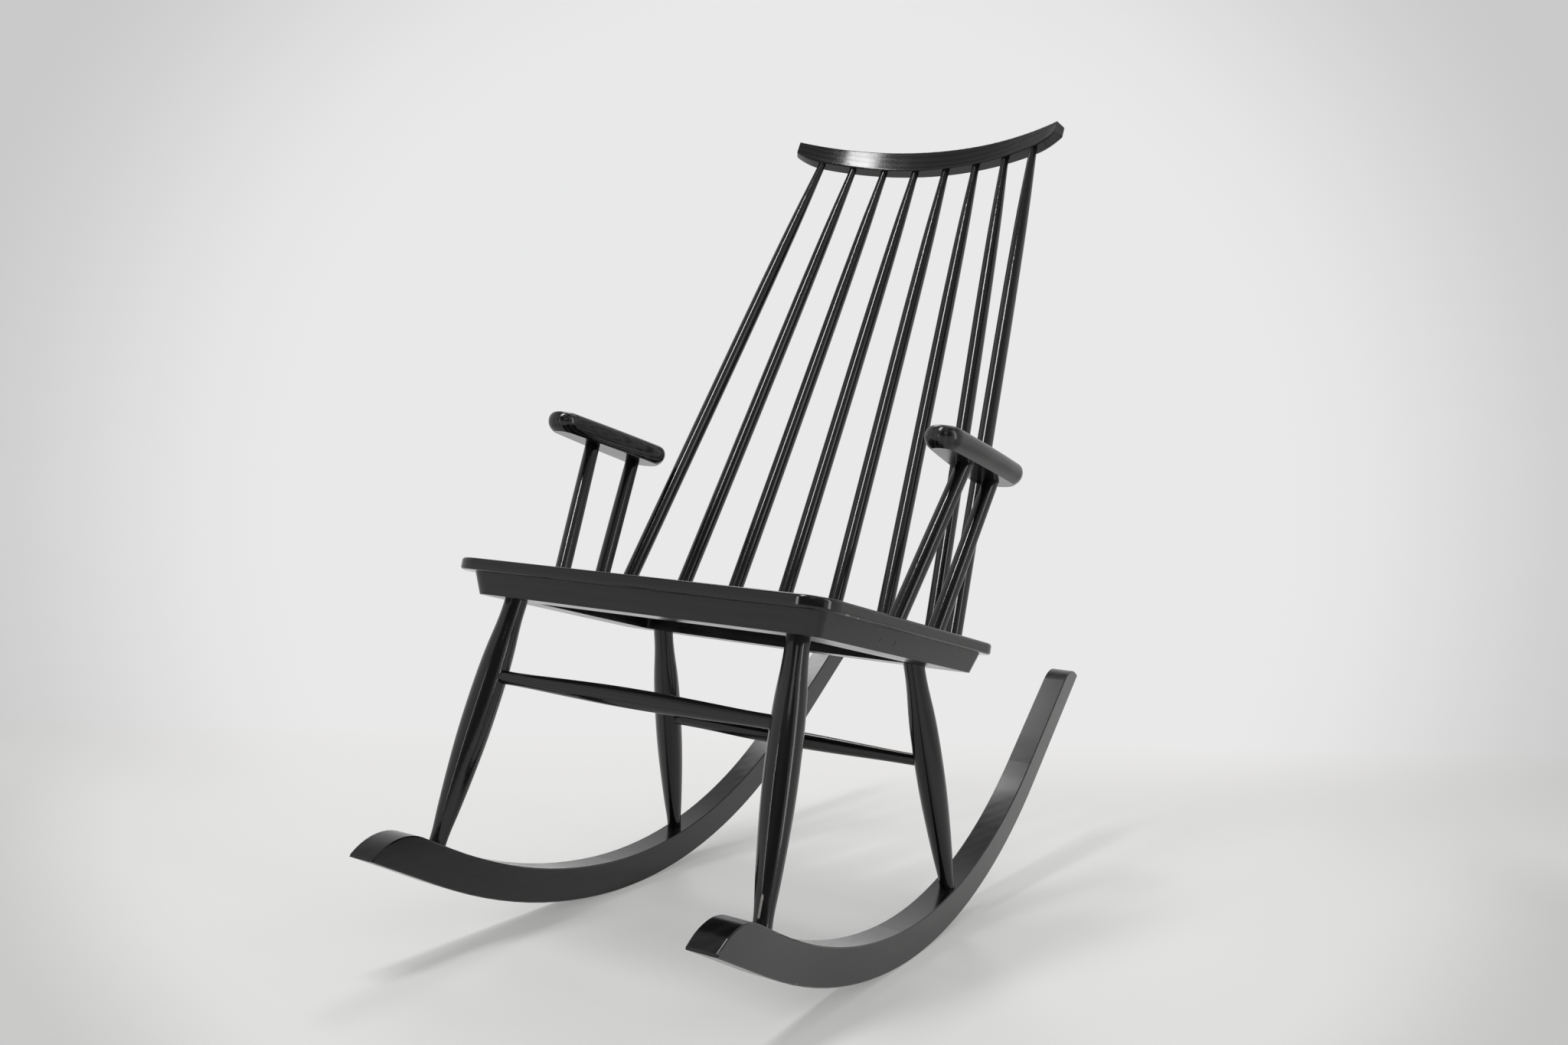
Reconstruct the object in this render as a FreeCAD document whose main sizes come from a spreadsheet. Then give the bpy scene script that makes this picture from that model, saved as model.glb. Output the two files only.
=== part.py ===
import FreeCAD, Part

import math
import os

import Sketcher

# Spindle-back rocking chair in lacquered hardwood, lengths in millimetres and angles in degrees.
# X runs to the sitter's left, Y to the back and Z up. Every piece is drawn in the chair's own level
# frame, with the rockers touching the floor at Y 0. At the end the whole chair is tipped about the
# centre of the rocker arc until its weight stands over the contact, as the empty chair rests.

SIZES = (
    # Joints
    ("joint_clearance", 0.1),
    ("joint_end_gap", 0.4),
    ("cut_overrun", 20),
    # Rockers
    ("rocker_spacing", 387),
    ("rocker_thickness", 32),
    ("rocker_height", 38.5),
    ("rocker_front_radius", 842.7),
    ("rocker_rear_radius", 708.2),
    ("rocker_front_angle", 21.4),
    ("rocker_rear_angle", 39.1),
    ("rocker_head_length", 103.5),
    ("rocker_tail_length", 235),
    ("rocker_nose_length", 56),
    ("rocker_tip_height", 3),
    ("rocker_edge_bevel", 1.2),
    ("rocker_flat_length", 50),
    # Seat frame and panel, in the plane of the frame's underside
    ("seat_setback", -281),
    ("seat_front_height", 357.8),
    ("seat_slope", 5.75),
    ("frame_thickness", 23),
    ("frame_board_width", 52),
    ("frame_front_half_width", 202),
    ("frame_rear_half_width", 238),
    ("frame_depth", 374),
    ("frame_rear_bow", 28),
    ("frame_bevel", 6.5),
    ("frame_front_corner_radius", 21),
    ("frame_rear_corner_radius", 14),
    ("frame_joint_setback", 135),
    ("panel_thickness", 12.6),
    ("panel_overhang", 15),
    ("panel_front_corner_radius", 33),
    ("panel_rear_corner_radius", 38),
    ("panel_edge_radius", 3),
    # Loose tongues and pins of the frame's two side joints
    ("tongue_thickness", 8),
    ("tongue_width", 30),
    ("tongue_length", 60),
    ("pin_radius", 1.8),
    ("pin_length", 34),
    ("pin_spacing", 30),
    # Legs: tops in from the frame's edges, feet from the contact and out from the rocker's middle
    ("front_leg_side_inset", 30.7),
    ("front_leg_end_inset", 34.6),
    ("front_leg_foot_reach", 300.7),
    ("front_leg_foot_outset", 0),
    ("rear_leg_side_inset", 65.1),
    ("rear_leg_end_inset", 44.9),
    ("rear_leg_foot_reach", 163),
    ("rear_leg_foot_outset", 4),
    ("leg_neck_radius", 12.1),
    ("leg_belly_radius", 16.9),
    ("leg_foot_radius", 9.1),
    ("leg_neck_length", 8),
    ("leg_ankle_length", 4),
    ("leg_seat_depth", 15),
    ("leg_rocker_depth", 20),
    # Stretchers
    ("front_stretcher_drop_share", 0.316),
    ("rear_stretcher_drop_share", 0.4255),
    ("stretcher_belly_radius", 10.2),
    ("stretcher_end_radius", 7),
    ("stretcher_depth", 9),
    # Back
    ("spindle_radius", 9.65),
    ("spindle_top_radius", 5.2),
    ("spindle_taper_length", 335),
    ("spindle_seat_depth", 16),
    ("spindle_crest_depth", 17),
    ("back_lean", 21.09),
    ("back_reach", 258.3),
    ("back_rise", 660.8),
    ("spindle_arc_radius", 410),
    ("crest_radius", 430),
    ("crest_half_angle", 27.7),
    ("crest_thickness", 17.6),
    ("crest_below", 3.5),
    ("crest_above", 29.7),
    ("crest_tip_fall", 6.2),
    ("crest_tip_rise", 11.5),
    ("crest_tip_length", 40),
    ("crest_end_length", 3),
    ("crest_end_land", 14.6),
    ("crest_edge_radius", 2),
    ("crest_spindle_angle", 6.64),
    # Armrests and their posts
    ("arm_post_radius", 9.3),
    ("arm_post_top_radius", 9),
    ("arm_post_top_length", 3),
    ("arm_post_seat_depth", 13),
    ("arm_post_arm_depth", 12),
    ("arm_post_side_inset", 2.8),
    ("front_post_depth_share", 0.4227),
    ("rear_post_depth_share", 0.6607),
    ("front_post_arm_setback", 73.2),
    ("rear_post_arm_setback", 161.7),
    ("arm_post_offset", 2),
    ("arm_outset", 5.5),
    ("arm_tip_depth_share", 0.427),
    ("arm_rise", 197),
    ("arm_slope", 4.8),
    ("arm_length", 197.8),
    ("arm_nose_radius", 12.5),
    ("arm_heel_radius", 23.5),
    ("arm_side_radius", 2200),
    ("arm_thickness", 24),
    ("arm_flare", 8.5),
)

# Height share up the leg or rod from its foot, and the share of the way from end to belly radius
LEG_SHARES = ((0.0, 0.0), (0.1, 0.23), (0.2, 0.5), (0.32, 0.76), (0.44, 0.94), (0.58, 1.0),
              (0.73, 0.88), (0.82, 0.62), (0.91, 0.2), (1.0, 0.0))
STRETCHER_SHARES = ((0.0, 0.0), (0.07, 0.04), (0.16, 0.27), (0.25, 0.55), (0.34, 0.8), (0.42, 0.96),
                    (0.5, 1.0))
# Share of the taper's length down from the spindle's top, and share of the full radius gained
SPINDLE_SHARES = ((0.0, 0.0), (0.06, 0.09), (0.32, 0.61), (0.55, 0.83), (0.78, 0.955), (1.0, 1.0))
# Spindle feet from the middle outwards: shares of the frame's rear half width and of its depth
SPINDLE_FOOT_SHARES = ((0.1529, 1.0013), (0.4558, 0.9873), (0.7521, 0.9503), (0.9496, 0.8011))
# Armrest section: shares of the thickness and of the flare beyond the underside's outline
ARM_SECTION_SHARES = ((0.0, 0.0), (0.24, 0.72), (0.58, 1.0), (0.88, 0.74), (1.0, 0.05))

os.makedirs("parts", exist_ok=True)
doc = FreeCAD.newDocument("rocking_chair")
sheet = doc.addObject("Spreadsheet::Sheet", "sizes")
for row, (alias, value) in enumerate(SIZES, 1):
    sheet.set("A%d" % row, alias)
    sheet.set("B%d" % row, str(value))
    sheet.setAlias("B%d" % row, alias)
doc.recompute()

V = FreeCAD.Vector
X_AXIS = V(1, 0, 0)
Z_AXIS = V(0, 0, 1)
SIDES = (("left", 1), ("right", -1))
# Numbers that a sketch gives to the start and the end of each curve
CURVE_ENDS = (1, 2)
nodes = {}


def size(alias):
    return float(sheet.get(alias))


def bind(item, prop, expression):
    """Tie a property to the sheet's sizes."""
    item.setExpression(prop, expression)


def turned_about(axis, angle):
    return FreeCAD.Rotation(axis, angle)


def plane_sketch(body, role, name, height=None):
    """Sketch on one of the body's own planes, raised by an expression in sizes where one is given."""
    plane = next(item for item in body.Origin.OriginFeatures if item.Role == role)
    sketch = body.newObject("Sketcher::SketchObject", name)
    sketch.AttachmentSupport = [(plane, "")]
    sketch.MapMode = "FlatFace"
    if height is not None:
        bind(sketch, "AttachmentOffset.Base.z", height)
    return sketch


def draw(sketch, curves):
    """Add curves that follow one another round a closed outline and join them end to end."""
    for curve in curves:
        sketch.addGeometry(curve, False)
    count = len(curves)
    ends = [(a, b) for a in CURVE_ENDS for b in CURVE_ENDS]
    for first in range(count):
        second = (first + 1) % count

        def gap(pair):
            return (sketch.getPoint(first, pair[0]) - sketch.getPoint(second, pair[1])).Length

        a, b = min(ends, key=gap)
        sketch.addConstraint(Sketcher.Constraint("Coincident", first, a, second, b))


def hold(sketch, kind, curve, point, value, name, expression):
    """Named distance of a curve's end from the origin along one sketch axis, tied to the sizes."""
    index = sketch.addConstraint(Sketcher.Constraint(kind, -1, 1, curve, point, value))
    sketch.renameConstraint(index, name)
    bind(sketch, "Constraints." + name, expression)


def line(start, end):
    return Part.LineSegment(start, end)


def arc_about(centre, start, end):
    """Arc round a centre from start to end, the short way."""
    radius = (start - centre).Length
    middle = (start - centre) + (end - centre)
    return Part.Arc(start, centre + middle.normalize() * radius, end)


def easing_arc(start, inward, end):
    """Arc that leaves start square to the inward direction and runs to end."""
    step = end - start
    radius = step.dot(step) / (2 * step.dot(inward))
    return arc_about(start + inward * radius, start, end)


def pad(body, sketch, length, taper=None):
    item = body.newObject("PartDesign::Pad", body.Name + "_pad")
    item.Profile = sketch
    bind(item, "Length", length)
    if taper is not None:
        bind(item, "TaperAngle", taper)
    doc.recompute()
    return item


def edges_where(item, test):
    """Names of an object's edges whose mid point and length pass a test."""
    names = []
    for index, edge in enumerate(item.Shape.Edges, 1):
        middle = edge.valueAt((edge.FirstParameter + edge.LastParameter) / 2)
        if test(edge, middle):
            names.append("Edge%d" % index)
    return names


def fillet(body, base, names, radius, label):
    item = body.newObject("PartDesign::Fillet", label)
    item.Base = (base, names)
    bind(item, "Radius", radius)
    doc.recompute()
    return item


def keep(label, item):
    """Enter a finished object as one of the chair's pieces."""
    item.Label = label
    nodes[label] = item
    return item


def bore(name, start, end, radius):
    """Cylinder from start to end that cuts a socket; the radius is an expression in sizes."""
    tool = doc.addObject("Part::Cylinder", name)
    tool.Height = (end - start).Length
    bind(tool, "Radius", radius)
    tool.Placement = FreeCAD.Placement(start, FreeCAD.Rotation(Z_AXIS, end - start))
    return tool


def cut(name, base, tools):
    """Base object less all tools; the tools stay usable for other cuts."""
    item = doc.addObject("Part::Cut", name)
    item.Base = base
    if len(tools) == 1:
        item.Tool = tools[0]
    else:
        joined = doc.addObject("Part::MultiFuse", name + "_tools")
        joined.Shapes = tools
        item.Tool = joined
    return item


def fit(radius):
    return "sizes.%s + sizes.joint_clearance" % radius


def turned(label, foot, top, below, above, profile, foot_radius, top_radius):
    """Round piece from foot to top along its own axis, reaching further by below and above.

    The profile is a list of (radius, height) pairs between the two ends.
    """
    length = (top - foot).Length
    body = doc.addObject("PartDesign::Body", label + "_body")
    sketch = plane_sketch(body, "XZ_Plane", label + "_profile")
    points = [V(radius, height, 0) for radius, height in profile]
    curve = Part.BSplineCurve()
    curve.interpolate(Points=points, InitialTangent=V(0, 1, 0), FinalTangent=V(0, 1, 0))
    low = V(0, -below, 0)
    high = V(0, length + above, 0)
    low_rim = V(points[0].x, -below, 0)
    high_rim = V(points[-1].x, length + above, 0)
    draw(sketch, [line(low, low_rim), line(low_rim, points[0]), curve, line(points[-1], high_rim),
                  line(high_rim, high), line(high, low)])
    hold(sketch, "DistanceX", 0, 2, points[0].x, "foot_radius", "sizes." + foot_radius)
    hold(sketch, "DistanceX", 4, 1, points[-1].x, "top_radius", "sizes." + top_radius)
    turning = body.newObject("PartDesign::Revolution", label + "_turning")
    turning.Profile = sketch
    turning.ReferenceAxis = (sketch, ["V_Axis"])
    turning.Angle = 360
    body.Placement = FreeCAD.Placement(foot, FreeCAD.Rotation(Z_AXIS, top - foot))
    return keep(label, body)


# Seat plane: its own frame stands at the middle of the front edge of the frame's underside
seat_place = FreeCAD.Placement(V(0, size("seat_setback"), size("seat_front_height")),
                               turned_about(X_AXIS, -size("seat_slope")))
seat_top = size("frame_thickness") + size("panel_thickness")
# How much wider the seat gets on each side per unit of depth
seat_slant = ((size("frame_rear_half_width") - size("frame_front_half_width"))
              / (size("frame_depth") - size("frame_rear_bow")))


def on_seat(across, setback, height):
    return seat_place.multVec(V(across, setback, height))


def seat_outline(body, name, grow, height=None):
    """Outline of the seat frame's underside, grown outwards by a distance on every side."""
    front = size("frame_front_half_width")
    rear = size("frame_rear_half_width")
    bow = size("frame_rear_bow")
    slant = seat_slant
    lean = math.hypot(1, slant)
    radius = (rear ** 2 + bow ** 2) / (2 * bow)
    centre = size("frame_depth") - radius
    front_x = front + grow * lean - grow * slant
    # Side line x = edge + slant y meets the rear arc of radius + grow
    edge = front + grow * lean
    offset = edge + slant * centre
    reach = radius + grow
    root = math.sqrt((slant * offset) ** 2 - lean ** 2 * (offset ** 2 - reach ** 2))
    corner_y = centre + (root - slant * offset) / lean ** 2
    corner_x = edge + slant * corner_y
    points = [V(-front_x, -grow, 0), V(front_x, -grow, 0),
              V(corner_x, corner_y, 0), V(-corner_x, corner_y, 0)]
    sketch = plane_sketch(body, "XY_Plane", name, height)
    draw(sketch, [line(points[0], points[1]), line(points[1], points[2]),
                  arc_about(V(0, centre, 0), points[2], points[3]), line(points[3], points[0])])
    return sketch


def corner_edges(item, front):
    """Upright edges of a seat outline's solid, at the front or at the rear."""
    halfway = size("frame_depth") / 2

    def upright(edge, middle):
        tall = edge.BoundBox.ZLength > max(edge.BoundBox.XLength, edge.BoundBox.YLength)
        return tall and (middle.y < halfway) == front

    return edges_where(item, upright)


def seat_block(label, grow, height, thickness, front_radius, rear_radius, taper=None):
    """Solid over a seat outline with its four corners rounded."""
    body = doc.addObject("PartDesign::Body", label + "_body")
    sketch = seat_outline(body, label + "_outline", grow, height)
    block = pad(body, sketch, thickness, taper)
    rounded = fillet(body, block, corner_edges(block, True), front_radius, label + "_front_corners")
    rounded = fillet(body, rounded, corner_edges(rounded, False), rear_radius, label + "_rear_corners")
    return body, rounded


def rocker_outline(body, name):
    """Side view of a rocker: two arcs that meet at the contact, a straight head and a straight tail."""
    tall = size("rocker_height")
    tip = size("rocker_tip_height")
    nose = size("rocker_nose_length")
    ends = {}
    for name_end, way in (("front", -1), ("rear", 1)):
        radius = size("rocker_%s_radius" % name_end)
        angle = math.radians(size("rocker_%s_angle" % name_end))
        straight = size("rocker_head_length" if way < 0 else "rocker_tail_length")
        centre = V(0, radius, 0)
        down = V(way * math.sin(angle), -math.cos(angle), 0)
        along = V(way * math.cos(angle), math.sin(angle), 0)
        low = centre + down * radius
        high = centre + down * (radius - tall)
        tip_low = low + along * straight
        tip_edge = tip_low - down * tip
        tip_top = high + along * (straight - nose)
        ends[name_end] = (centre, low, tip_low, tip_edge, tip_top, high, down)
    low = V(0, 0, 0)
    high = V(0, tall, 0)
    front_centre, front_low, head_low, head_edge, head_top, front_high, front_down = ends["front"]
    rear_centre, rear_low, tail_low, tail_edge, tail_top, rear_high, rear_down = ends["rear"]
    sketch = plane_sketch(body, "YZ_Plane", name)
    draw(sketch, [arc_about(front_centre, front_low, low), arc_about(rear_centre, low, rear_low),
                  line(rear_low, tail_low), line(tail_low, tail_edge),
                  easing_arc(tail_top, rear_down, tail_edge),
                  line(tail_top, rear_high), arc_about(rear_centre, rear_high, high),
                  arc_about(front_centre, high, front_high), line(front_high, head_top),
                  easing_arc(head_top, front_down, head_edge), line(head_edge, head_low),
                  line(head_low, front_low)])
    return sketch


def rocker_block(label, side):
    """Rocker bar between its two side faces, with all edges of those faces eased."""
    thickness = size("rocker_thickness")
    body = doc.addObject("PartDesign::Body", label + "_body")
    bar = pad(body, rocker_outline(body, label + "_outline"), "sizes.rocker_thickness")

    def on_face(edge, middle):
        return edge.BoundBox.XLength < thickness / 2

    eased = body.newObject("PartDesign::Chamfer", label + "_edges")
    eased.Base = (bar, edges_where(bar, on_face))
    bind(eased, "Size", "sizes.rocker_edge_bevel")
    body.Placement.Base = V(side * size("rocker_spacing") / 2 - thickness / 2, 0, 0)
    return body


def rocker_top(reach, front):
    """Setback and height of the rocker's top face at a horizontal reach from the contact."""
    radius = size("rocker_front_radius" if front else "rocker_rear_radius")
    angle = math.radians(size("rocker_front_angle" if front else "rocker_rear_angle"))
    inner = radius - size("rocker_height")
    curved = inner * math.sin(angle)
    if reach < curved:
        height = radius - math.sqrt(inner ** 2 - reach ** 2)
    else:
        height = radius - inner * math.cos(angle) + (reach - curved) * math.tan(angle)
    return -reach if front else reach, height


def leg_profile(length):
    """Radius and height pairs of a leg: straight ankle, long belly and straight neck."""
    neck = size("leg_neck_radius")
    belly = size("leg_belly_radius")
    foot = size("leg_foot_radius")
    low = size("leg_ankle_length")
    shaped = length - low - size("leg_neck_length")
    belly_share = max(LEG_SHARES, key=lambda pair: pair[1])[0]
    pairs = []
    for height_share, swell_share in LEG_SHARES:
        end = foot if height_share < belly_share else neck
        pairs.append((end + (belly - end) * swell_share, low + shaped * height_share))
    return pairs


def sockets(label, foot, top, below, above, foot_radius, top_radius):
    """Cutters for the sockets that hold a round piece's foot and top."""
    gap = size("joint_end_gap")
    over = size("cut_overrun")
    along = (top - foot).normalize()
    foot_end = foot - along * (below + gap)
    top_end = top + along * (above + gap)
    foot_bore = bore(label + "_foot_bore", foot + along * over, foot_end, fit(foot_radius))
    top_bore = bore(label + "_top_bore", top - along * over, top_end, fit(top_radius))
    return foot_bore, top_bore


# Legs, with the cutters for their sockets in the rockers and in the seat frame
rocker_bores = {"left": [], "right": []}
frame_bores = []
leg_lines = {}
for side_name, side in SIDES:
    for end_name, front in (("front", True), ("rear", False)):
        label = "leg_%s_%s" % (end_name, side_name)
        inset = size(end_name + "_leg_end_inset")
        setback = inset if front else size("frame_depth") - inset
        half_width = size("frame_%s_half_width" % end_name) - size(end_name + "_leg_side_inset")
        top = on_seat(side * half_width, setback, 0)
        foot_y, foot_z = rocker_top(size(end_name + "_leg_foot_reach"), front)
        foot_x = size("rocker_spacing") / 2 + size(end_name + "_leg_foot_outset")
        foot = V(side * foot_x, foot_y, foot_z)
        reach = (size("leg_rocker_depth"), size("leg_seat_depth"))
        radii = ("leg_foot_radius", "leg_neck_radius")
        turned(label, foot, top, *reach, leg_profile((top - foot).Length), *radii)
        foot_bore, top_bore = sockets(label, foot, top, *reach, *radii)
        rocker_bores[side_name].append(foot_bore)
        frame_bores.append(top_bore)
        leg_lines[label] = (top, foot)

# Rockers
for side_name, side in SIDES:
    label = "rocker_" + side_name
    block = rocker_block(label, side)
    keep(label, cut(label + "_bored", block, rocker_bores[side_name]))


def stretcher_profile(length):
    """Radius and height pairs of a stretcher, thickest in the middle."""
    end = size("stretcher_end_radius")
    belly = size("stretcher_belly_radius")
    rising = [(end + (belly - end) * swell, length * share) for share, swell in STRETCHER_SHARES]
    falling = [(radius, length - height) for radius, height in reversed(rising[:-1])]
    return rising + falling


# Stretchers, seated in the front and rear pairs of legs
for end_name in ("front", "rear"):
    share = size(end_name + "_stretcher_drop_share")
    places = []
    for side_name, side in SIDES:
        top, foot = leg_lines["leg_%s_%s" % (end_name, side_name)]
        places.append(top + (foot - top) * share)
    left, right = places
    label = "stretcher_" + end_name
    depth = size("stretcher_depth")
    inward = (left - right).normalize() * size("leg_belly_radius")
    start = right + inward
    finish = left - inward
    span = (finish - start).Length
    turned(label, start, finish, depth, depth, stretcher_profile(span), "stretcher_end_radius",
           "stretcher_end_radius")
    bores = sockets(label, start, finish, depth, depth, "stretcher_end_radius", "stretcher_end_radius")
    for leg_side, tool in zip(("right", "left"), bores):
        leg_label = "leg_%s_%s" % (end_name, leg_side)
        keep(leg_label, cut(leg_label + "_bored", nodes[leg_label], [tool]))


def spindle_profile(length):
    """Radius and height pairs of a back spindle, tapering towards its top."""
    full = size("spindle_radius")
    slim = size("spindle_top_radius")
    taper = size("spindle_taper_length")
    return [(slim + (full - slim) * gain, length - taper * share)
            for share, gain in reversed(SPINDLE_SHARES)]


# Back spindles fan out on an arc in the crest rail and on a flatter curve in the seat
crest_start = V(0, size("seat_setback") + size("frame_depth") + size("back_reach"),
                size("seat_front_height") + size("back_rise"))
crest_place = FreeCAD.Placement(crest_start, turned_about(X_AXIS, -size("back_lean")))
panel_bores = []
crest_bores = []
for number, (spread_share, depth_share) in enumerate(SPINDLE_FOOT_SHARES, 1):
    angle = math.radians(size("crest_spindle_angle") * (number - 0.5))
    for side_name, side in SIDES:
        label = "spindle_%s_%d" % (side_name, number)
        radius = size("spindle_arc_radius")
        top = crest_place.multVec(V(side * radius * math.sin(angle), radius * (math.cos(angle) - 1), 0))
        foot = on_seat(side * size("frame_rear_half_width") * spread_share,
                       size("frame_depth") * depth_share, seat_top)
        reach = (size("spindle_seat_depth"), size("spindle_crest_depth"))
        radii = ("spindle_radius", "spindle_top_radius")
        turned(label, foot, top, *reach, spindle_profile((top - foot).Length), *radii)
        foot_bore, top_bore = sockets(label, foot, top, *reach, *radii)
        panel_bores.append(foot_bore)
        crest_bores.append(top_bore)


def crest_plan(body, name):
    """Crest rail from above: an arc band whose rear corners run round to its front tips."""
    middle = size("crest_radius")
    inner = middle - size("crest_thickness") / 2
    outer = middle + size("crest_thickness") / 2
    half = math.radians(size("crest_half_angle"))
    start = half - size("crest_end_length") / outer
    centre = V(0, -middle, 0)

    def outward(angle):
        return V(math.sin(angle), math.cos(angle), 0)

    land = inner + size("crest_end_land")
    tips = [centre + outward(angle) * inner for angle in (-half, half)]
    lands = [centre + outward(angle) * land for angle in (-half, half)]
    backs = [centre + outward(angle) * outer for angle in (-start, start)]
    sketch = plane_sketch(body, "XY_Plane", name, "-sizes.crest_below")
    draw(sketch, [arc_about(centre, tips[0], tips[1]), line(tips[1], lands[1]),
                  easing_arc(backs[1], -outward(start), lands[1]), arc_about(centre, backs[1], backs[0]),
                  easing_arc(backs[0], -outward(-start), lands[0]), line(lands[0], tips[0])])
    return sketch


def crest_elevation(body, name):
    """Crest rail from the front: bowed top edge, straight underside that lifts towards the tips."""
    outer = size("crest_radius") + size("crest_thickness") / 2
    half = outer * math.sin(math.radians(size("crest_half_angle")))
    low = -size("crest_below")
    high = size("crest_above")
    flat = half - size("crest_tip_length")
    fall = high - size("crest_tip_fall")
    rise = low + size("crest_tip_rise")
    sag = size("crest_tip_fall")
    top_centre = V(0, high - (half ** 2 + sag ** 2) / (2 * sag), 0)
    sketch = plane_sketch(body, "XZ_Plane", name)
    draw(sketch, [line(V(-flat, low, 0), V(flat, low, 0)),
                  easing_arc(V(flat, low, 0), V(0, 1, 0), V(half, rise, 0)),
                  line(V(half, rise, 0), V(half, fall, 0)),
                  arc_about(top_centre, V(half, fall, 0), V(-half, fall, 0)),
                  line(V(-half, fall, 0), V(-half, rise, 0)),
                  easing_arc(V(-flat, low, 0), V(0, 1, 0), V(-half, rise, 0))])
    return sketch


def rounded_edges(name, base, radius, test):
    """Edges of a finished solid rounded where they pass a test."""
    item = doc.addObject("Part::Fillet", name)
    item.Base = base
    doc.recompute()
    numbers = [int(edge[4:]) for edge in edges_where(base, test)]
    item.Edges = [(number, radius, radius) for number in numbers]
    return item


# Crest rail: what its plan and its front view have in common
plan = doc.addObject("PartDesign::Body", "crest_plan_body")
pad(plan, crest_plan(plan, "crest_plan"), "sizes.crest_below + sizes.crest_above")
elevation = doc.addObject("PartDesign::Body", "crest_elevation_body")
pad(elevation, crest_elevation(elevation, "crest_elevation"), "sizes.crest_radius")
elevation.Placement.Base = V(0, size("crest_thickness"), 0)
rail = doc.addObject("Part::Common", "crest_blank")
rail.Base = plan
rail.Tool = elevation
doc.recompute()
eased_rail = rounded_edges("crest_eased", rail, size("crest_edge_radius"),
                           lambda edge, middle: edge.Length > size("crest_above") + size("crest_below"))
for tool in crest_bores:
    tool.Placement = crest_place.inverse().multiply(tool.Placement)
crest = keep("crest_rail", cut("crest_bored", eased_rail, crest_bores))
crest.Placement = crest_place


def arm_outline(body, name, grow, height):
    """Outline of an armrest's underside: small round nose, long bowed sides and a wide round heel."""
    nose = size("arm_nose_radius")
    heel = size("arm_heel_radius")
    side = size("arm_side_radius")
    nose_centre = V(0, nose, 0)
    heel_centre = V(0, size("arm_length") - heel, 0)
    spread = heel_centre.y - nose_centre.y
    along = (spread ** 2 + (side - nose) ** 2 - (side - heel) ** 2) / (2 * spread)
    across = math.sqrt((side - nose) ** 2 - along ** 2)
    centres = [nose_centre + V(sign * across, along, 0) for sign in (-1, 1)]
    nose_ends = [nose_centre + (nose_centre - centre).normalize() * (nose + grow) for centre in centres]
    heel_ends = [heel_centre + (heel_centre - centre).normalize() * (heel + grow) for centre in centres]
    nose_tip = nose_centre - V(0, nose + grow, 0)
    heel_tip = heel_centre + V(0, heel + grow, 0)
    sketch = plane_sketch(body, "XY_Plane", name, height)
    draw(sketch, [Part.Arc(nose_ends[1], nose_tip, nose_ends[0]),
                  arc_about(centres[0], nose_ends[0], heel_ends[0]),
                  Part.Arc(heel_ends[0], heel_tip, heel_ends[1]),
                  arc_about(centres[1], heel_ends[1], nose_ends[1])])
    return sketch


def post_profile(length):
    """Radius and height pairs of an arm post, nearly straight."""
    full = size("arm_post_radius")
    end = size("arm_post_top_length")
    return [(full, end), (full, length / 2), (size("arm_post_top_radius"), length - end)]


# Armrests and their posts
for side_name, side in SIDES:
    arm_start = V(side * (size("frame_rear_half_width") + size("arm_outset")),
                  size("seat_setback") + size("frame_depth") * size("arm_tip_depth_share"),
                  size("seat_front_height") + size("arm_rise"))
    arm_place = FreeCAD.Placement(arm_start, turned_about(X_AXIS, -size("arm_slope")))
    arm_bores = []
    for end_name in ("front", "rear"):
        label = "arm_post_%s_%s" % (end_name, side_name)
        setback = size("frame_depth") * size(end_name + "_post_depth_share")
        half_width = size("frame_front_half_width") + seat_slant * setback - size("arm_post_side_inset")
        foot = on_seat(side * half_width, setback, seat_top)
        top_setback = size(end_name + "_post_arm_setback")
        top = arm_place.multVec(V(side * size("arm_post_offset"), top_setback, 0))
        reach = (size("arm_post_seat_depth"), size("arm_post_arm_depth"))
        radii = ("arm_post_radius", "arm_post_top_radius")
        turned(label, foot, top, *reach, post_profile((top - foot).Length), *radii)
        foot_bore, top_bore = sockets(label, foot, top, *reach, *radii)
        panel_bores.append(foot_bore)
        top_bore.Placement = arm_place.inverse().multiply(top_bore.Placement)
        arm_bores.append(top_bore)
    label = "armrest_" + side_name
    body = doc.addObject("PartDesign::Body", label + "_body")
    sections = []
    for number, (height_share, flare_share) in enumerate(ARM_SECTION_SHARES):
        grow = size("arm_flare") * flare_share
        height = "sizes.arm_thickness * %s" % height_share
        sections.append(arm_outline(body, "%s_section_%d" % (label, number), grow, height))
    doc.recompute()
    form = body.newObject("PartDesign::AdditiveLoft", label + "_form")
    form.Profile = sections[0]
    form.Sections = sections[1:]
    arm = keep(label, cut(label + "_bored", body, arm_bores))
    arm.Placement = arm_place

# Seat: a panel on a frame of two U-shaped boards that meet end to end at the sides
for tool in frame_bores + panel_bores:
    tool.Placement = seat_place.inverse().multiply(tool.Placement)
taper = "atan(sizes.frame_bevel / sizes.frame_thickness)"
block_body, block = seat_block("frame_block", 0, None, "sizes.frame_thickness",
                               "sizes.frame_front_corner_radius", "sizes.frame_rear_corner_radius", taper)
hollow_body, hollow = seat_block("frame_hollow", -size("frame_board_width"), "-sizes.cut_overrun",
                                 "sizes.frame_thickness + 2 * sizes.cut_overrun",
                                 "sizes.frame_front_corner_radius / 2",
                                 "sizes.frame_rear_corner_radius / 2")


def half_space(name, behind):
    """Box over everything behind or before the frame's side joints."""
    region = doc.addObject("Part::Box", name)
    bind(region, "Length", "4 * sizes.frame_rear_half_width")
    bind(region, "Width", "2 * sizes.frame_depth")
    bind(region, "Height", "4 * sizes.frame_thickness")
    start = size("frame_joint_setback")
    if not behind:
        start -= 2 * size("frame_depth")
    region.Placement.Base = V(-2 * size("frame_rear_half_width"), start, -size("frame_thickness"))
    return region


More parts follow.
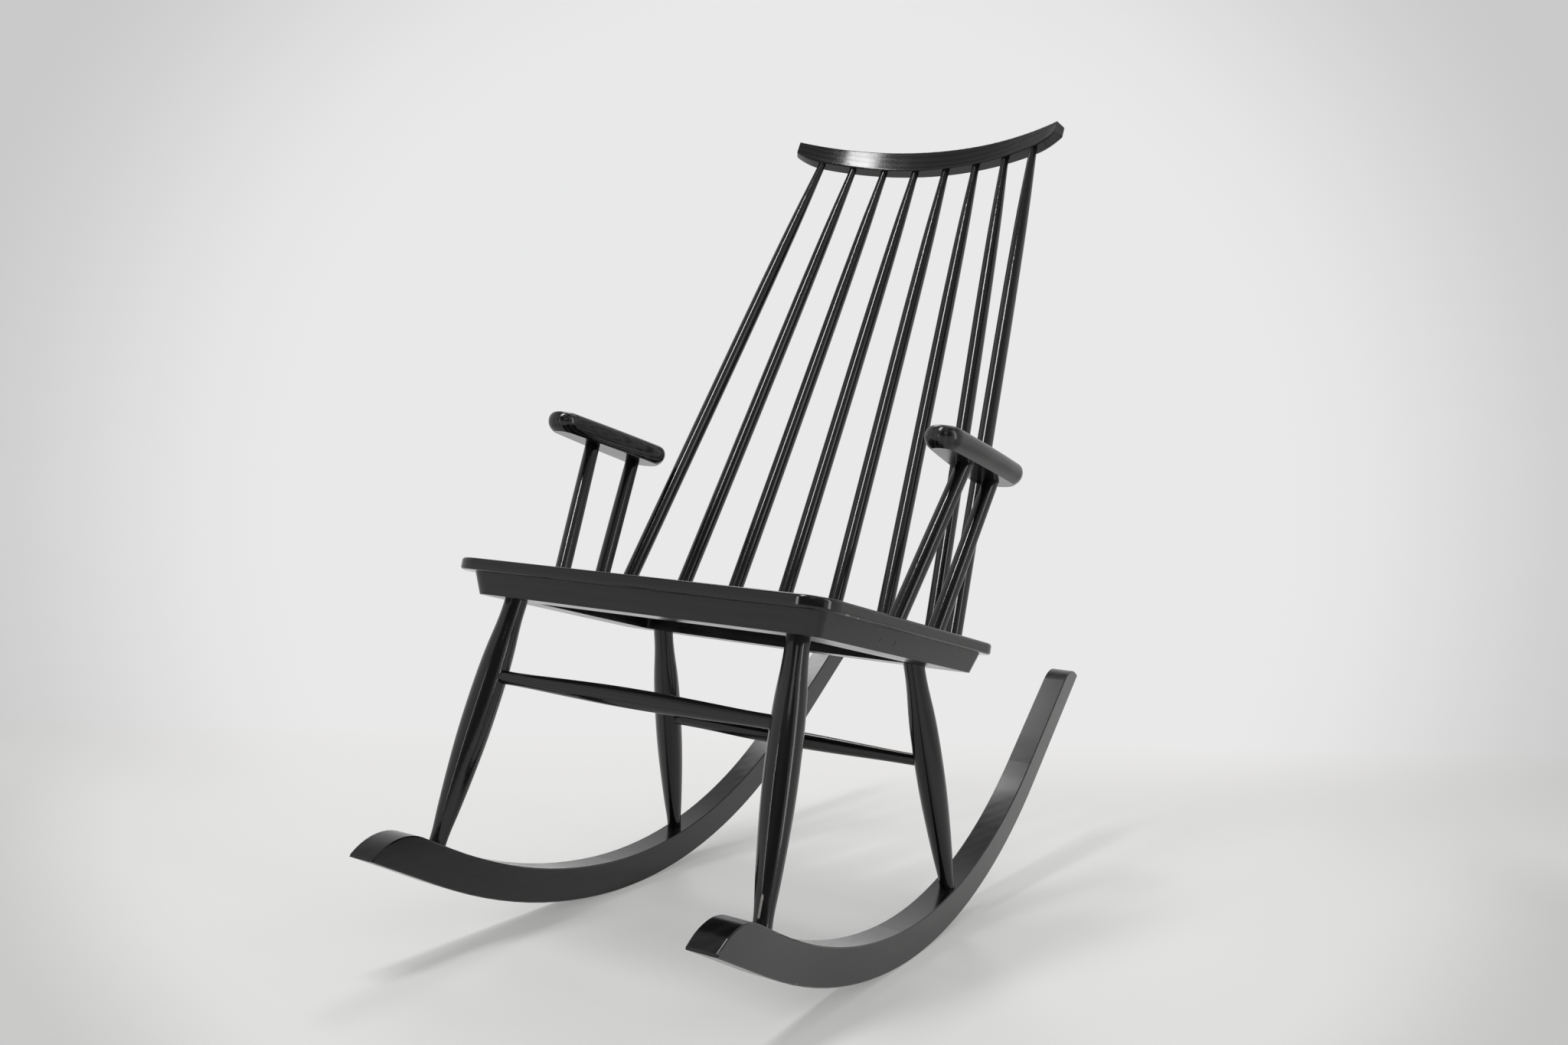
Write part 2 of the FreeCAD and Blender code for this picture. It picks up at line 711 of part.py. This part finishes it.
def side_middle(setback):
    """Half width of the middle of a side board at a setback from the front edge."""
    return size("frame_front_half_width") + seat_slant * setback - size("frame_board_width") / 2


def tongue_block(name, middle, turn, spare):
    """Flat block of the tongue's size about its middle, larger all round by a number of clearances."""
    block = doc.addObject("Part::Box", name)
    for prop, alias in (("Length", "width"), ("Width", "length"), ("Height", "thickness")):
        bind(block, prop, "sizes.tongue_%s + %d * sizes.joint_clearance" % (alias, 2 * spare))
    doc.recompute()
    start = V(-block.Length.Value / 2, -block.Width.Value / 2, -block.Height.Value / 2)
    block.Placement = FreeCAD.Placement(middle + turn.multVec(start), turn)
    return block


# Loose tongue across each side joint, and the four pins that hold the tongues
tongue_slots = []
pin_bores = []
pins = []
mid_height = size("frame_thickness") / 2
side_reach = (size("frame_board_width") + size("frame_bevel")) / 2
for side_name, side in SIDES:
    joint = size("frame_joint_setback")
    middle = V(side * side_middle(joint), joint, mid_height)
    turn = turned_about(Z_AXIS, -side * math.degrees(math.atan(seat_slant)))
    tongue = tongue_block("tongue_" + side_name, middle, turn, 0)
    tongue_slots.append(tongue_block("tongue_slot_" + side_name, middle, turn, 1))
    inward = turn.multVec(V(-side, 0, 0))
    for number, way in enumerate((-1, 1), 1):
        setback = joint + way * size("pin_spacing") / 2
        outer = V(side * (side_middle(setback) + side_reach), setback, mid_height)
        inner = outer + inward * size("pin_length")
        name = "%s_%d" % (side_name, number)
        pins.append(bore("pin_" + name, outer, inner, "sizes.pin_radius"))
        pin_bores.append(bore("pin_bore_" + name, outer - inward * size("cut_overrun"),
                              inner + inward * size("joint_end_gap"), fit("pin_radius")))
    piece = keep("frame_tongue_" + side_name, cut("tongue_bored_" + side_name, tongue, pin_bores[-2:]))
    piece.Placement = seat_place

pin_group = doc.addObject("Part::Compound", "frame_pin_group")
pin_group.Links = pins
keep("frame_pins", pin_group).Placement = seat_place
for end_name, behind in (("front", True), ("rear", False)):
    away = half_space("frame_%s_away" % end_name, behind)
    tools = [hollow_body, away] + frame_bores + panel_bores + tongue_slots + pin_bores
    board = keep("seat_frame_" + end_name, cut("frame_%s_bored" % end_name, block_body, tools))
    board.Placement = seat_place

grow = size("frame_bevel") + size("panel_overhang")
panel_body, panel_block = seat_block("panel", grow, "sizes.frame_thickness", "sizes.panel_thickness",
                                     "sizes.panel_front_corner_radius", "sizes.panel_rear_corner_radius")
face_edges = edges_where(panel_block,
                         lambda edge, middle: edge.BoundBox.ZLength < size("panel_thickness") / 2)
fillet(panel_body, panel_block, face_edges, "sizes.panel_edge_radius", "panel_edges")
panel = keep("seat_panel", cut("panel_bored", panel_body, panel_bores))
panel.Placement = seat_place
doc.recompute()

# Rest: tip the chair about the centre of the rocker arc that it stands on, front or rear, until its
# centre of mass is over the contact, then set the middle of its depth at Y 0
total = sum(item.Shape.Volume for item in nodes.values())
mass_y = sum(item.Shape.Volume * item.Shape.CenterOfGravity.y for item in nodes.values()) / total
mass_z = sum(item.Shape.Volume * item.Shape.CenterOfGravity.z for item in nodes.values()) / total
pivot = size("rocker_rear_radius" if mass_y > 0 else "rocker_front_radius")
tip_angle = math.degrees(math.atan2(mass_y, pivot - mass_z))
tip_place = FreeCAD.Placement(V(0, 0, 0), turned_about(X_AXIS, -tip_angle), V(0, 0, pivot))

# Short flat under each rocker at the resting contact, which keeps the empty chair from rocking on
flat_rise = pivot - math.sqrt(pivot ** 2 - (size("rocker_flat_length") / 2) ** 2)
below = doc.addObject("Part::Box", "below_the_flats")
bind(below, "Length", "2 * sizes.rocker_spacing")
bind(below, "Width", "2 * sizes.rocker_flat_length")
bind(below, "Height", "sizes.rocker_height")
corner = V(-size("rocker_spacing"), -size("rocker_flat_length"), flat_rise - size("rocker_height"))
below.Placement = tip_place.inverse().multiply(FreeCAD.Placement(corner, FreeCAD.Rotation()))
for side_name, side in SIDES:
    label = "rocker_" + side_name
    keep(label, cut(label + "_flattened", nodes[label], [below]))
doc.recompute()
tip_place = FreeCAD.Placement(V(0, 0, -flat_rise), FreeCAD.Rotation()).multiply(tip_place)
placed = [item.Shape.transformed(tip_place.toMatrix()) for item in nodes.values()]
extent = Part.makeCompound(placed).optimalBoundingBox(False, False)
shift = FreeCAD.Placement(V(0, -extent.Center.y, 0), FreeCAD.Rotation())
rest = shift.multiply(tip_place)
for item in nodes.values():
    item.Placement = rest.multiply(item.Placement)
doc.recompute()

for item in doc.Objects:
    if "Invalid" in item.State or "Error" in item.State:
        raise RuntimeError("%s failed: %s" % (item.Label, item.State))
for label, item in nodes.items():
    if item.Shape.isNull() or not item.Shape.isValid():
        raise RuntimeError(label + " has no valid shape")
for label, item in nodes.items():
    item.Shape.exportStep("parts/%s.step" % label)
print("pieces %d, tipped back %.4f degrees, moved %.3f, mass centre at %.2f %.2f"
      % (len(nodes), tip_angle, shift.Base.y, mass_y, mass_z))
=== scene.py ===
import bpy
from mathutils import Euler, Matrix, Vector


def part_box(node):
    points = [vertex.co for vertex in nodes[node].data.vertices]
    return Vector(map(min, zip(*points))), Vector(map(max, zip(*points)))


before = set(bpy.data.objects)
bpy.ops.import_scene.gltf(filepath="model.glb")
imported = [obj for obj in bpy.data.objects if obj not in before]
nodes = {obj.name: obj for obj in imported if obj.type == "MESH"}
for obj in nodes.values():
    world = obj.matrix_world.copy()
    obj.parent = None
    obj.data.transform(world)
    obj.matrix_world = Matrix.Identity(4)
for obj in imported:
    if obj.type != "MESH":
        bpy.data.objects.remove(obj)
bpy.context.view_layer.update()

scene = bpy.context.scene

# Colours of the black film, and of the wood where a chip shows it; the chip colours also paint
# highlight lines along the arris of rocker_left's nose
FILM_DARK = (0.0033, 0.0032, 0.0033, 1)
FILM_PALE = (0.0052, 0.005, 0.0049, 1)
FILM_RING = (0.021, 0.0197, 0.0184, 1)
FILM_WORN = (0.04, 0.036, 0.032, 1)
FILM_SCRATCHED = (0.06, 0.058, 0.056, 1)
CHIP_AND_HIGHLIGHT_DARK = (0.09, 0.086, 0.082, 1)
CHIP_AND_HIGHLIGHT_PALE = (0.45, 0.43, 0.405, 1)

# Colours of unfinished hardwood
WOOD_DARK = (0.34, 0.24, 0.14, 1)
WOOD_PALE = (0.6, 0.47, 0.31, 1)
WOOD_MIDDLE = (0.5, 0.38, 0.24, 1)

# Relief of the film in millimetres; the parts that follow the grain grow with its figure
MILLIMETRE = 0.001
WAVE_HEIGHT = 0.07
PEEL_HEIGHT = 0.0012
RING_HEIGHT = 0.003
FIBRE_HEIGHT = 0.0004
PORE_DEPTH = 0.0006
CHIP_DEPTH = 0.12
SCRATCH_DEPTH = 0.01

# How far round an arris the wear reaches, in metres
ARRIS_RADIUS = 0.0013

# Step of the grain's seed from one node to the next
SEED_STEP = 0.37

# Chips and scratches where the film is knocked off, and painted highlight lines along the arris of
# rocker_left's nose, by node: start, end and half width of each
CHIPS_AND_HIGHLIGHTS = {
    "leg_front_left": (
        ((0.1929, -0.4222, 0.1455), (0.1924, -0.4256, 0.1285), 0.0013),
        ((0.1929, -0.4219, 0.1474), (0.1929, -0.4222, 0.1455), 0.0008),
    ),
    "seat_panel": (
        ((0.2249, -0.3608, 0.3973), (0.2254, -0.3545, 0.396), 0.0007),
        ((0.2266, -0.339, 0.3931), (0.2267, -0.337, 0.3929), 0.0009),
    ),
    "crest_rail": (
        ((-0.1235, 0.2672, 1.0074), (-0.121, 0.268, 1.0071), 0.0008),
    ),
    "rocker_left": (
        # Painted highlight: these two lines trace the light caught by the arris of the nose, drawn in
        # the pale chip colour
        ((0.2075, -0.5207, 0.1259), (0.2083, -0.5142, 0.1305), 0.0004),
        ((0.2083, -0.5142, 0.1305), (0.2083, -0.5064, 0.1347), 0.0005),
        ((0.2095, -0.3751, 0.0583), (0.2095, -0.3735, 0.0579), 0.0005),
        ((0.2095, 0.0097, 0.0248), (0.2095, 0.0115, 0.025), 0.0006),
    ),
}


# Node building
class Tree:
    """Short hand for making the nodes of one material or world."""

    def __init__(self, owner):
        owner.use_nodes = True
        self.tree = owner.node_tree
        self.tree.nodes.clear()

    def put(self, socket, value):
        if isinstance(value, bpy.types.NodeSocket):
            self.tree.links.new(value, socket)
        else:
            socket.default_value = value

    def add(self, kind, props=None, **inputs):
        item = self.tree.nodes.new(kind)
        for name, value in (props or {}).items():
            setattr(item, name, value)
        for name, value in inputs.items():
            self.put(item.inputs[name.replace("_", " ")], value)
        return item

    def math(self, operation, *values, clamp=False):
        item = self.add("ShaderNodeMath", {"operation": operation, "use_clamp": clamp})
        for index, value in enumerate(values):
            self.put(item.inputs[index], value)
        return item.outputs[0]

    def plus(self, value, *terms):
        """The value plus each term's mask times its weight."""
        for mask, weight in terms:
            value = self.math("ADD", value, self.math("MULTIPLY", mask, weight))
        return value

    def vector(self, operation, *values):
        item = self.add("ShaderNodeVectorMath", {"operation": operation})
        for index, value in enumerate(values):
            self.put(item.inputs[index], value)
        number = operation in ("LENGTH", "DISTANCE", "DOT_PRODUCT")
        return item.outputs["Value" if number else 0]

    def between(self, value, low, high, out_low=0.0, out_high=1.0):
        """Smooth step from out_low at low to out_high at high, held beyond both."""
        item = self.add("ShaderNodeMapRange", Value=value, From_Min=low, From_Max=high,
                        To_Min=out_low, To_Max=out_high)
        item.interpolation_type = "SMOOTHSTEP"
        return item.outputs[0]

    def mix(self, share, first, second):
        item = self.add("ShaderNodeMix", {"data_type": "RGBA"})
        self.put(item.inputs[0], share)
        self.put(item.inputs[6], first)
        self.put(item.inputs[7], second)
        return item.outputs[2]

    def noise(self, place, scale, detail=2.0, roughness=0.5):
        item = self.add("ShaderNodeTexNoise", Vector=place, Scale=scale, Detail=detail,
                        Roughness=roughness)
        return item.outputs[0]

    def blend(self, share, first, second):
        """Shader that goes from the first to the second by the share."""
        item = self.add("ShaderNodeMixShader", Fac=share)
        self.put(item.inputs[1], first.outputs[0])
        self.put(item.inputs[2], second.outputs[0])
        return item.outputs[0]


# Lacquer and wood
def grain_space(tree, direction, origin=(0, 0, 0)):
    """Object coordinates, and the same turned so that Z runs along the grain from the origin."""
    place = tree.add("ShaderNodeTexCoord").outputs["Object"]
    turn = Vector(direction).normalized().to_track_quat("Z", "Y").inverted().to_euler()
    shifted = tree.vector("SUBTRACT", place, Vector(origin))
    turned = tree.add("ShaderNodeMapping", {"vector_type": "POINT"}, Vector=shifted)
    turned.inputs["Rotation"].default_value = turn
    return place, turned.outputs[0]


def stretched(tree, place, share):
    """The place with its run along the grain cut to a share, so that what it shows gets long."""
    return tree.vector("MULTIPLY", place, Vector((1.0, 1.0, share)))


def growth_rings(tree, along, pitch):
    """Rings round the pith, stretched far along the grain and bent a little."""
    slow = stretched(tree, along, 0.09)
    bend = tree.math("SUBTRACT", tree.noise(slow, 12.0, 2.0), 0.5)
    bent = tree.vector("ADD", slow, tree.vector("MULTIPLY", bend, Vector((0.02, 0.012, 0.0))))
    rings = tree.add("ShaderNodeTexWave", {"wave_type": "RINGS", "rings_direction": "Z"},
                     Vector=bent, Scale=pitch, Distortion=1.2, Detail=2.0, Detail_Scale=1.5)
    return tree.math("POWER", rings.outputs["Fac"], 2.5)


def rubbing_marks(tree, along):
    """Thin crossed scratches in a few patches."""
    marks = 0.0
    for turn, scale in ((0.5, 60.0), (2.1, 85.0)):
        spun = tree.add("ShaderNodeMapping", Vector=along)
        spun.inputs["Rotation"].default_value = Euler((turn, turn * 0.7, turn))
        thin = tree.vector("MULTIPLY", spun.outputs[0], Vector((1.0, 0.05, 0.6)))
        cell = tree.add("ShaderNodeTexVoronoi", {"feature": "DISTANCE_TO_EDGE"},
                        Vector=thin, Scale=scale)
        hair = tree.between(cell.outputs[0], 0.0, 0.01, 1.0, 0.0)
        patch = tree.between(tree.noise(spun.outputs[0], 7.0 + turn, 1.0), 0.58, 0.72)
        marks = tree.math("MAXIMUM", marks, tree.math("MULTIPLY", hair, patch))
    return marks


def arrises(tree):
    """One where a rounded normal leaves the face's own."""
    soft = tree.add("ShaderNodeBevel", {"samples": 4}, Radius=ARRIS_RADIUS).outputs[0]
    flat = tree.add("ShaderNodeNewGeometry").outputs["Normal"]
    return tree.between(tree.vector("DOT_PRODUCT", soft, flat), 0.99, 0.9)


def with_chips_and_highlights(tree, bare_and_highlight, place, ragged, chips_and_highlights):
    """The bare places, the given chips and the painted highlight lines, each a line with round ends
    and a ragged outline.
    """
    for start, end, radius in chips_and_highlights:
        start = Vector(start)
        run = Vector(end) - start
        share = tree.vector("DOT_PRODUCT", tree.vector("SUBTRACT", place, start), run)
        share = tree.math("MULTIPLY", share, 1 / run.length_squared, clamp=True)
        nearest = tree.vector("ADD", tree.vector("MULTIPLY", share, run), start)
        reach = tree.plus(tree.vector("DISTANCE", place, nearest), (ragged, radius * 1.6))
        listed_mark = tree.between(reach, radius * 1.85, radius * 1.6)
        bare_and_highlight = tree.math("MAXIMUM", bare_and_highlight, listed_mark)
    return bare_and_highlight


def lacquer(name, direction, origin, figure, rough, scratch=0.25, seed=0.0, pitch=34.0, chips_and_highlights=()):
    """Black lacquer over hardwood whose grain shows faintly through the film.

    direction and origin give the pith's run, figure how strongly the grain shows, pitch how close
    its rings lie, and seed shifts it. rough is the film's roughness, scratch the strength of its
    rubbing marks, and the last argument lists the places where it is knocked off and the painted
    highlight lines, in the form of the table of chips at the top.
    """
    material = bpy.data.materials.new(name)
    tree = Tree(material)
    place, along = grain_space(tree, direction, origin)
    drift = tree.vector("ADD", along, Vector((seed, seed * 1.7, seed * 0.3)))

    # Grain, of which the film fills the pores only half
    rings = growth_rings(tree, drift, pitch)
    fibres = tree.noise(stretched(tree, drift, 0.012), 700.0, 2.0, 0.55)
    pores = tree.between(tree.noise(stretched(tree, drift, 0.04), 620.0, 1.0), 0.63, 0.72)

    # Film: slow waves of the brushed coat and a fine orange peel
    waves = tree.noise(place, 20.0, 1.0)
    peel = tree.noise(place, 240.0, 1.0)

    # Wear: rubbing marks, worn arrises, small random chips on them, and the chips given, which on
    # rocker_left's nose include painted highlight lines
    marks = tree.math("MULTIPLY", rubbing_marks(tree, along), scratch)
    edge = arrises(tree)
    rub = tree.noise(place, 30.0, 3.0, 0.65)
    worn = tree.math("MULTIPLY", edge, tree.between(rub, 0.5, 0.7))
    bare_and_highlight = tree.math("MULTIPLY", edge, tree.between(tree.noise(place, 130.0, 2.0), 0.7, 0.73))
    bare_and_highlight = tree.math("MULTIPLY", bare_and_highlight, tree.between(rub, 0.58, 0.66))
    ragged = tree.noise(place, 700.0, 3.0, 0.7)
    bare_and_highlight = with_chips_and_highlights(tree, bare_and_highlight, place, ragged, chips_and_highlights)

    # Colour
    film = tree.mix(tree.between(tree.noise(place, 6.0, 2.0), 0.3, 0.7), FILM_DARK, FILM_PALE)
    for mask, weight, tone in ((rings, 0.8 * figure, FILM_RING), (worn, 0.5, FILM_WORN),
                               (marks, 0.4, FILM_SCRATCHED)):
        film = tree.mix(tree.math("MULTIPLY", mask, weight), film, tone)
    # The bare places take the chip colours, which also paint the listed highlight lines
    colour = tree.mix(bare_and_highlight, film, tree.mix(ragged, CHIP_AND_HIGHLIGHT_DARK, CHIP_AND_HIGHLIGHT_PALE))

    # Roughness
    patchy = tree.noise(place, 11.0, 3.0, 0.6)
    gloss = tree.plus(tree.between(patchy, 0.3, 0.7, rough - 0.03, rough + 0.04),
                      (fibres, 0.02 * figure), (rings, 0.06 * figure), (worn, 0.15), (marks, 0.2))
    gloss = tree.math("ADD", gloss, tree.math("MULTIPLY", bare_and_highlight, 0.45), clamp=True)

    # Relief
    height = tree.plus(tree.math("MULTIPLY", waves, WAVE_HEIGHT), (peel, PEEL_HEIGHT),
                       (rings, RING_HEIGHT * figure), (fibres, FIBRE_HEIGHT * figure),
                       (pores, -PORE_DEPTH * figure), (bare_and_highlight, -CHIP_DEPTH),
                       (marks, -SCRATCH_DEPTH))
    bump = tree.add("ShaderNodeBump", Strength=1.0, Distance=MILLIMETRE, Height=height)

    shader = tree.add("ShaderNodeBsdfPrincipled", Base_Color=colour, Roughness=gloss, IOR=1.5,
                      Normal=bump.outputs[0])
    tree.add("ShaderNodeOutputMaterial", Surface=shader.outputs[0])
    return material


def bare_wood(name):
    """Unfinished pale hardwood of the tongues inside the frame joints."""
    material = bpy.data.materials.new(name)
    tree = Tree(material)
    place, along = grain_space(tree, (0, 1, 0))
    fibres = tree.noise(stretched(tree, along, 0.03), 600.0, 3.0, 0.6)
    tone = tree.mix(fibres, WOOD_DARK, WOOD_PALE)
    tone = tree.mix(tree.noise(place, 20.0, 2.0), tone, WOOD_MIDDLE)
    rough = tree.between(fibres, 0.2, 0.8, 0.55, 0.75)
    bump = tree.add("ShaderNodeBump", Strength=0.4, Distance=0.3 * MILLIMETRE, Height=fibres)
    shader = tree.add("ShaderNodeBsdfPrincipled", Base_Color=tone, Roughness=rough,
                      Normal=bump.outputs[0])
    tree.add("ShaderNodeOutputMaterial", Surface=shader.outputs[0])
    return material


def axis_of(node):
    """Rough run of a long piece, from the mean of its lowest tenth to that of its highest."""
    points = sorted((v.co for v in nodes[node].data.vertices), key=lambda p: p.z)
    count = max(1, len(points) // 10)
    low = sum(points[:count], Vector()) / count
    high = sum(points[-count:], Vector()) / count
    return high - low, low


def finish_of(name, number):
    """Material of one node: the grain runs along each long piece."""
    if name.startswith("frame_tongue"):
        return bare_wood("wood_" + name)
    label = "lacquer_" + name
    seed = SEED_STEP * number
    chips_and_highlights = CHIPS_AND_HIGHLIGHTS.get(name, ())
    low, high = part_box(name)
    middle = (Vector(low) + Vector(high)) / 2
    if name.startswith(("leg", "spindle", "arm_post")):
        run, start = axis_of(name)
        return lacquer(label, run, start, figure=0.35, rough=0.12, seed=seed, chips_and_highlights=chips_and_highlights)
    if name.startswith("armrest"):
        # The pith passes close by at a slant, which gives the top a cathedral figure
        side = 1 if name.endswith("left") else -1
        pith = (0.2115 * side, -0.19, 0.57)
        return lacquer(label, (0.15 * side, 1, -0.13), pith, figure=1.0, rough=0.15, pitch=62.0)
    if name.startswith("rocker"):
        pith = middle - Vector((0, 0, 0.5))
        return lacquer(label, (0, 1, 0), pith, figure=0.3, rough=0.17, scratch=0.35, seed=seed,
                       chips_and_highlights=chips_and_highlights)
    if name == "seat_panel":
        pith = middle - Vector((0, 0, 0.15))
        return lacquer(label, (1, 0, 0), pith, figure=0.4, rough=0.09, seed=seed, chips_and_highlights=chips_and_highlights)
    if name == "crest_rail":
        figure, rough = 0.4, 0.13
    elif name.startswith("stretcher"):
        figure, rough = 0.35, 0.14
    else:
        figure, rough = 0.3, 0.2
    return lacquer(label, (1, 0, 0), middle, figure, rough, seed=seed, chips_and_highlights=chips_and_highlights)


for number, (name, obj) in enumerate(sorted(nodes.items())):
    obj.material_slots[0].material = finish_of(name, number)

# Camera where the photograph was taken from
camera_data = bpy.data.cameras.new("camera")
camera_data.sensor_width = 36
camera_data.lens = 28.704
camera_data.clip_start = 0.05
camera_data.clip_end = 60
camera = bpy.data.objects.new("camera", camera_data)
scene.collection.objects.link(camera)
camera.matrix_world = Matrix((
    (0.877229, -0.070307, 0.474895, 0.71182),
    (0.474276, -0.026325, -0.879982, -1.39533),
    (0.074371, 0.997178, 0.010252, 0.48887),
    (0, 0, 0, 1),
))
scene.camera = camera
scene.view_settings.view_transform = "Standard"

# Studio wall: the photographer's place, from which its tone is laid out and which stays fixed in
# other views, the direction of its brightest spot, and its strength in that spot, where it is lowest,
# and behind the photographer
WALL_FROM = Vector((0.71182, -1.39533, 0.48887))
WALL_SPOT = Vector((-0.4749, 0.88, 0.0)).normalized()
WALL_BRIGHT = 0.815
WALL_LOW = 0.59
WALL_BEHIND = 0.76

# Level way from the chair to the line where the floor runs over into the wall
TO_WALL = Vector((-0.6965, 0.7176, 0))

# Floor: its half width and how far it lies under the rockers, in metres, its paint with painted shade
# in its front corners, and the wall's glow over it
FLOOR_REACH = 14.0
FLOOR_GAP = 0.0004
PAINT_DARK = (0.76, 0.757, 0.748, 1)
PAINT_PALE = (0.81, 0.808, 0.802, 1)
PAINT_SMUDGED = (0.5, 0.49, 0.48, 1)
PAINT_SHADED = (0.0, 0.0, 0.0, 1)
SMUDGE_SHARE = 0.12
PAINTED_CORNER_SHADE = 0.28
GLOW_FLOOR = (1.0, 0.994, 0.98, 1)
GLOW_WALL = (1.0, 1.0, 1.005, 1)
GLOW_SHARE = 0.3

# Even light of the room on everything
ROOM_COLOUR = (0.80, 0.80, 0.81, 1)
ROOM_STRENGTH = 0.6

# What gloss sees of the room: middle of its dark part, and the strengths of all parts
DARK_SIDE = Vector((0.4147, -0.91, 0))
WALLS_PALE = 0.7
WALLS_DARK = 0.12
CEILING = 0.3


def wall_tone(tree, direction):
    """Strength of the wall in a direction from WALL_FROM: it fades around the bright spot and
    rises again to an even tone at the sides and behind."""
    near = tree.vector("DOT_PRODUCT", direction, WALL_SPOT)
    spot = tree.between(near, 0.815, 0.935, WALL_LOW, WALL_BRIGHT)
    return tree.math("MAXIMUM", spot, tree.between(near, 0.45, 0.78, WALL_BEHIND, WALL_LOW))


def looked_at(tree):
    """One for camera rays, and one for all rays that show the backdrop: those, gloss and glass."""
    path = tree.add("ShaderNodeLightPath")
    eye = path.outputs["Is Camera Ray"]
    shown = tree.math("MAXIMUM", eye, path.outputs["Is Glossy Ray"])
    return eye, tree.math("MAXIMUM", shown, path.outputs["Is Transmission Ray"])


def studio_paint():
    """Pale floor paint that takes shadows, has painted shade in its front corners, and runs over into
    the wall's tone far from the chair.
    """
    material = bpy.data.materials.new("studio_paint")
    tree = Tree(material)
    place = tree.add("ShaderNodeTexCoord").outputs["Object"]
    depth = tree.vector("DOT_PRODUCT", place, TO_WALL)
    out = tree.vector("LENGTH", place)

    # Paint: cloudy, a little smudged, and darker towards the corners in front, where shade is painted
    # into its colour
    tone = tree.mix(tree.noise(place, 1.3, 2.0), PAINT_DARK, PAINT_PALE)
    smudges = tree.between(tree.noise(place, 16.0, 4.0, 0.7), 0.66, 0.8)
    tone = tree.mix(tree.math("MULTIPLY", smudges, SMUDGE_SHARE), tone, PAINT_SMUDGED)
    # Painted shade: the paint is mixed towards black in the front corners of the view from WALL_FROM
    sight = tree.vector("NORMALIZE", tree.vector("SUBTRACT", place, WALL_FROM))
    near = tree.vector("DOT_PRODUCT", sight, WALL_SPOT)
    shade = tree.between(near, 0.80, 0.87, PAINTED_CORNER_SHADE, 0.0)
    shade = tree.math("MULTIPLY", shade, tree.between(out, 1.5, 1.1))
    distance = tree.vector("DISTANCE", place, WALL_FROM)
    shade = tree.math("MULTIPLY", shade, tree.between(distance, 0.95, 1.25))
    paint = tree.add("ShaderNodeBsdfDiffuse", Color=tree.mix(shade, tone, PAINT_SHADED))

    # Glow of the wall's tone, which takes over with the distance
    tint = tree.mix(tree.between(depth, 0.99, 1.1), GLOW_FLOOR, GLOW_WALL)
    glow = tree.add("ShaderNodeEmission", Color=tint, Strength=wall_tone(tree, sight))
    shown = looked_at(tree)[1]
    share = tree.math("MAXIMUM", tree.between(depth, 0.35, 1.1, GLOW_SHARE, 1.0),
                      tree.between(out, 1.5, 3.2, GLOW_SHARE, 1.0))
    surface = tree.blend(tree.math("MULTIPLY", share, shown), paint, glow)
    tree.add("ShaderNodeOutputMaterial", Surface=surface)
    return material


# Floor of the studio
floor_mesh = bpy.data.meshes.new("studio_floor")
corners = [(x * FLOOR_REACH, y * FLOOR_REACH, 0) for x, y in ((-1, -1), (1, -1), (1, 1), (-1, 1))]
floor_mesh.from_pydata(corners, [], [(0, 1, 2, 3)])
floor = bpy.data.objects.new("studio_floor", floor_mesh)
floor.location.z = -FLOOR_GAP
scene.collection.objects.link(floor)
floor_mesh.materials.append(studio_paint())

# Room: the wall's tone to the camera; gloss sees pale walls at the back and sides, a darker front
# and a middling ceiling; everything else gets an even dim light
world = bpy.data.worlds.new("studio")
scene.world = world
tree = Tree(world)
direction = tree.add("ShaderNodeTexCoord").outputs["Generated"]
rise = tree.add("ShaderNodeSeparateXYZ", Vector=direction).outputs["Z"]
front = tree.between(tree.vector("DOT_PRODUCT", direction, DARK_SIDE), 0.7, 0.726)
walls = tree.between(front, 0.0, 1.0, WALLS_PALE, WALLS_DARK)
to_ceiling = tree.math("SUBTRACT", CEILING, walls)
walls = tree.plus(walls, (tree.between(rise, 0.5, 0.85), to_ceiling))
eye, shown = looked_at(tree)
strength = tree.math("ADD", tree.math("MULTIPLY", eye, wall_tone(tree, direction)),
                     tree.math("MULTIPLY", tree.math("SUBTRACT", 1.0, eye), walls))
room = tree.add("ShaderNodeBackground", Color=ROOM_COLOUR, Strength=ROOM_STRENGTH)
backdrop = tree.add("ShaderNodeBackground", Color=GLOW_WALL, Strength=strength)
tree.add("ShaderNodeOutputWorld", Surface=tree.blend(shown, room, backdrop))

# Lamps: place, point they face, width, upright height and power
LAMPS = {
    "strip_front": ((-0.31, -1.47, 2.95), (-0.075, 0.075, 0.8), 0.34, 1.45, 37),
    "strip_left": ((-0.52, -2.61, 0.66), (0.19, -0.42, 0.66), 0.14, 0.9, 2.2),
    "strip_right": ((2.15, -0.47, 1.32), (0.1, -0.3, 1.32), 0.3, 2.3, 9),
    "box_right": ((1.03, -1.84, 1.39), (0.18, -0.37, 0.33), 0.5, 0.4, 1),
    "box_back": ((-1.0, 0.9, 2.5), (0, 0, 0.3), 0.7, 0.7, 12),
    "box_top": ((0.3, 1.0, 3.1), (0, 0, 0.2), 2.0, 1.4, 10),
}


def soft_box(name, place, aim, width, height, power):
    """Rectangular lamp that isn't seen itself."""
    data = bpy.data.lights.new(name, "AREA")
    data.shape = "RECTANGLE"
    data.size = width
    data.size_y = height
    data.energy = power
    lamp = bpy.data.objects.new(name, data)
    lamp.location = place
    lamp.rotation_euler = (Vector(aim) - Vector(place)).to_track_quat("-Z", "Y").to_euler()
    lamp.visible_camera = False
    scene.collection.objects.link(lamp)


for name, measures in LAMPS.items():
    soft_box(name, *measures)
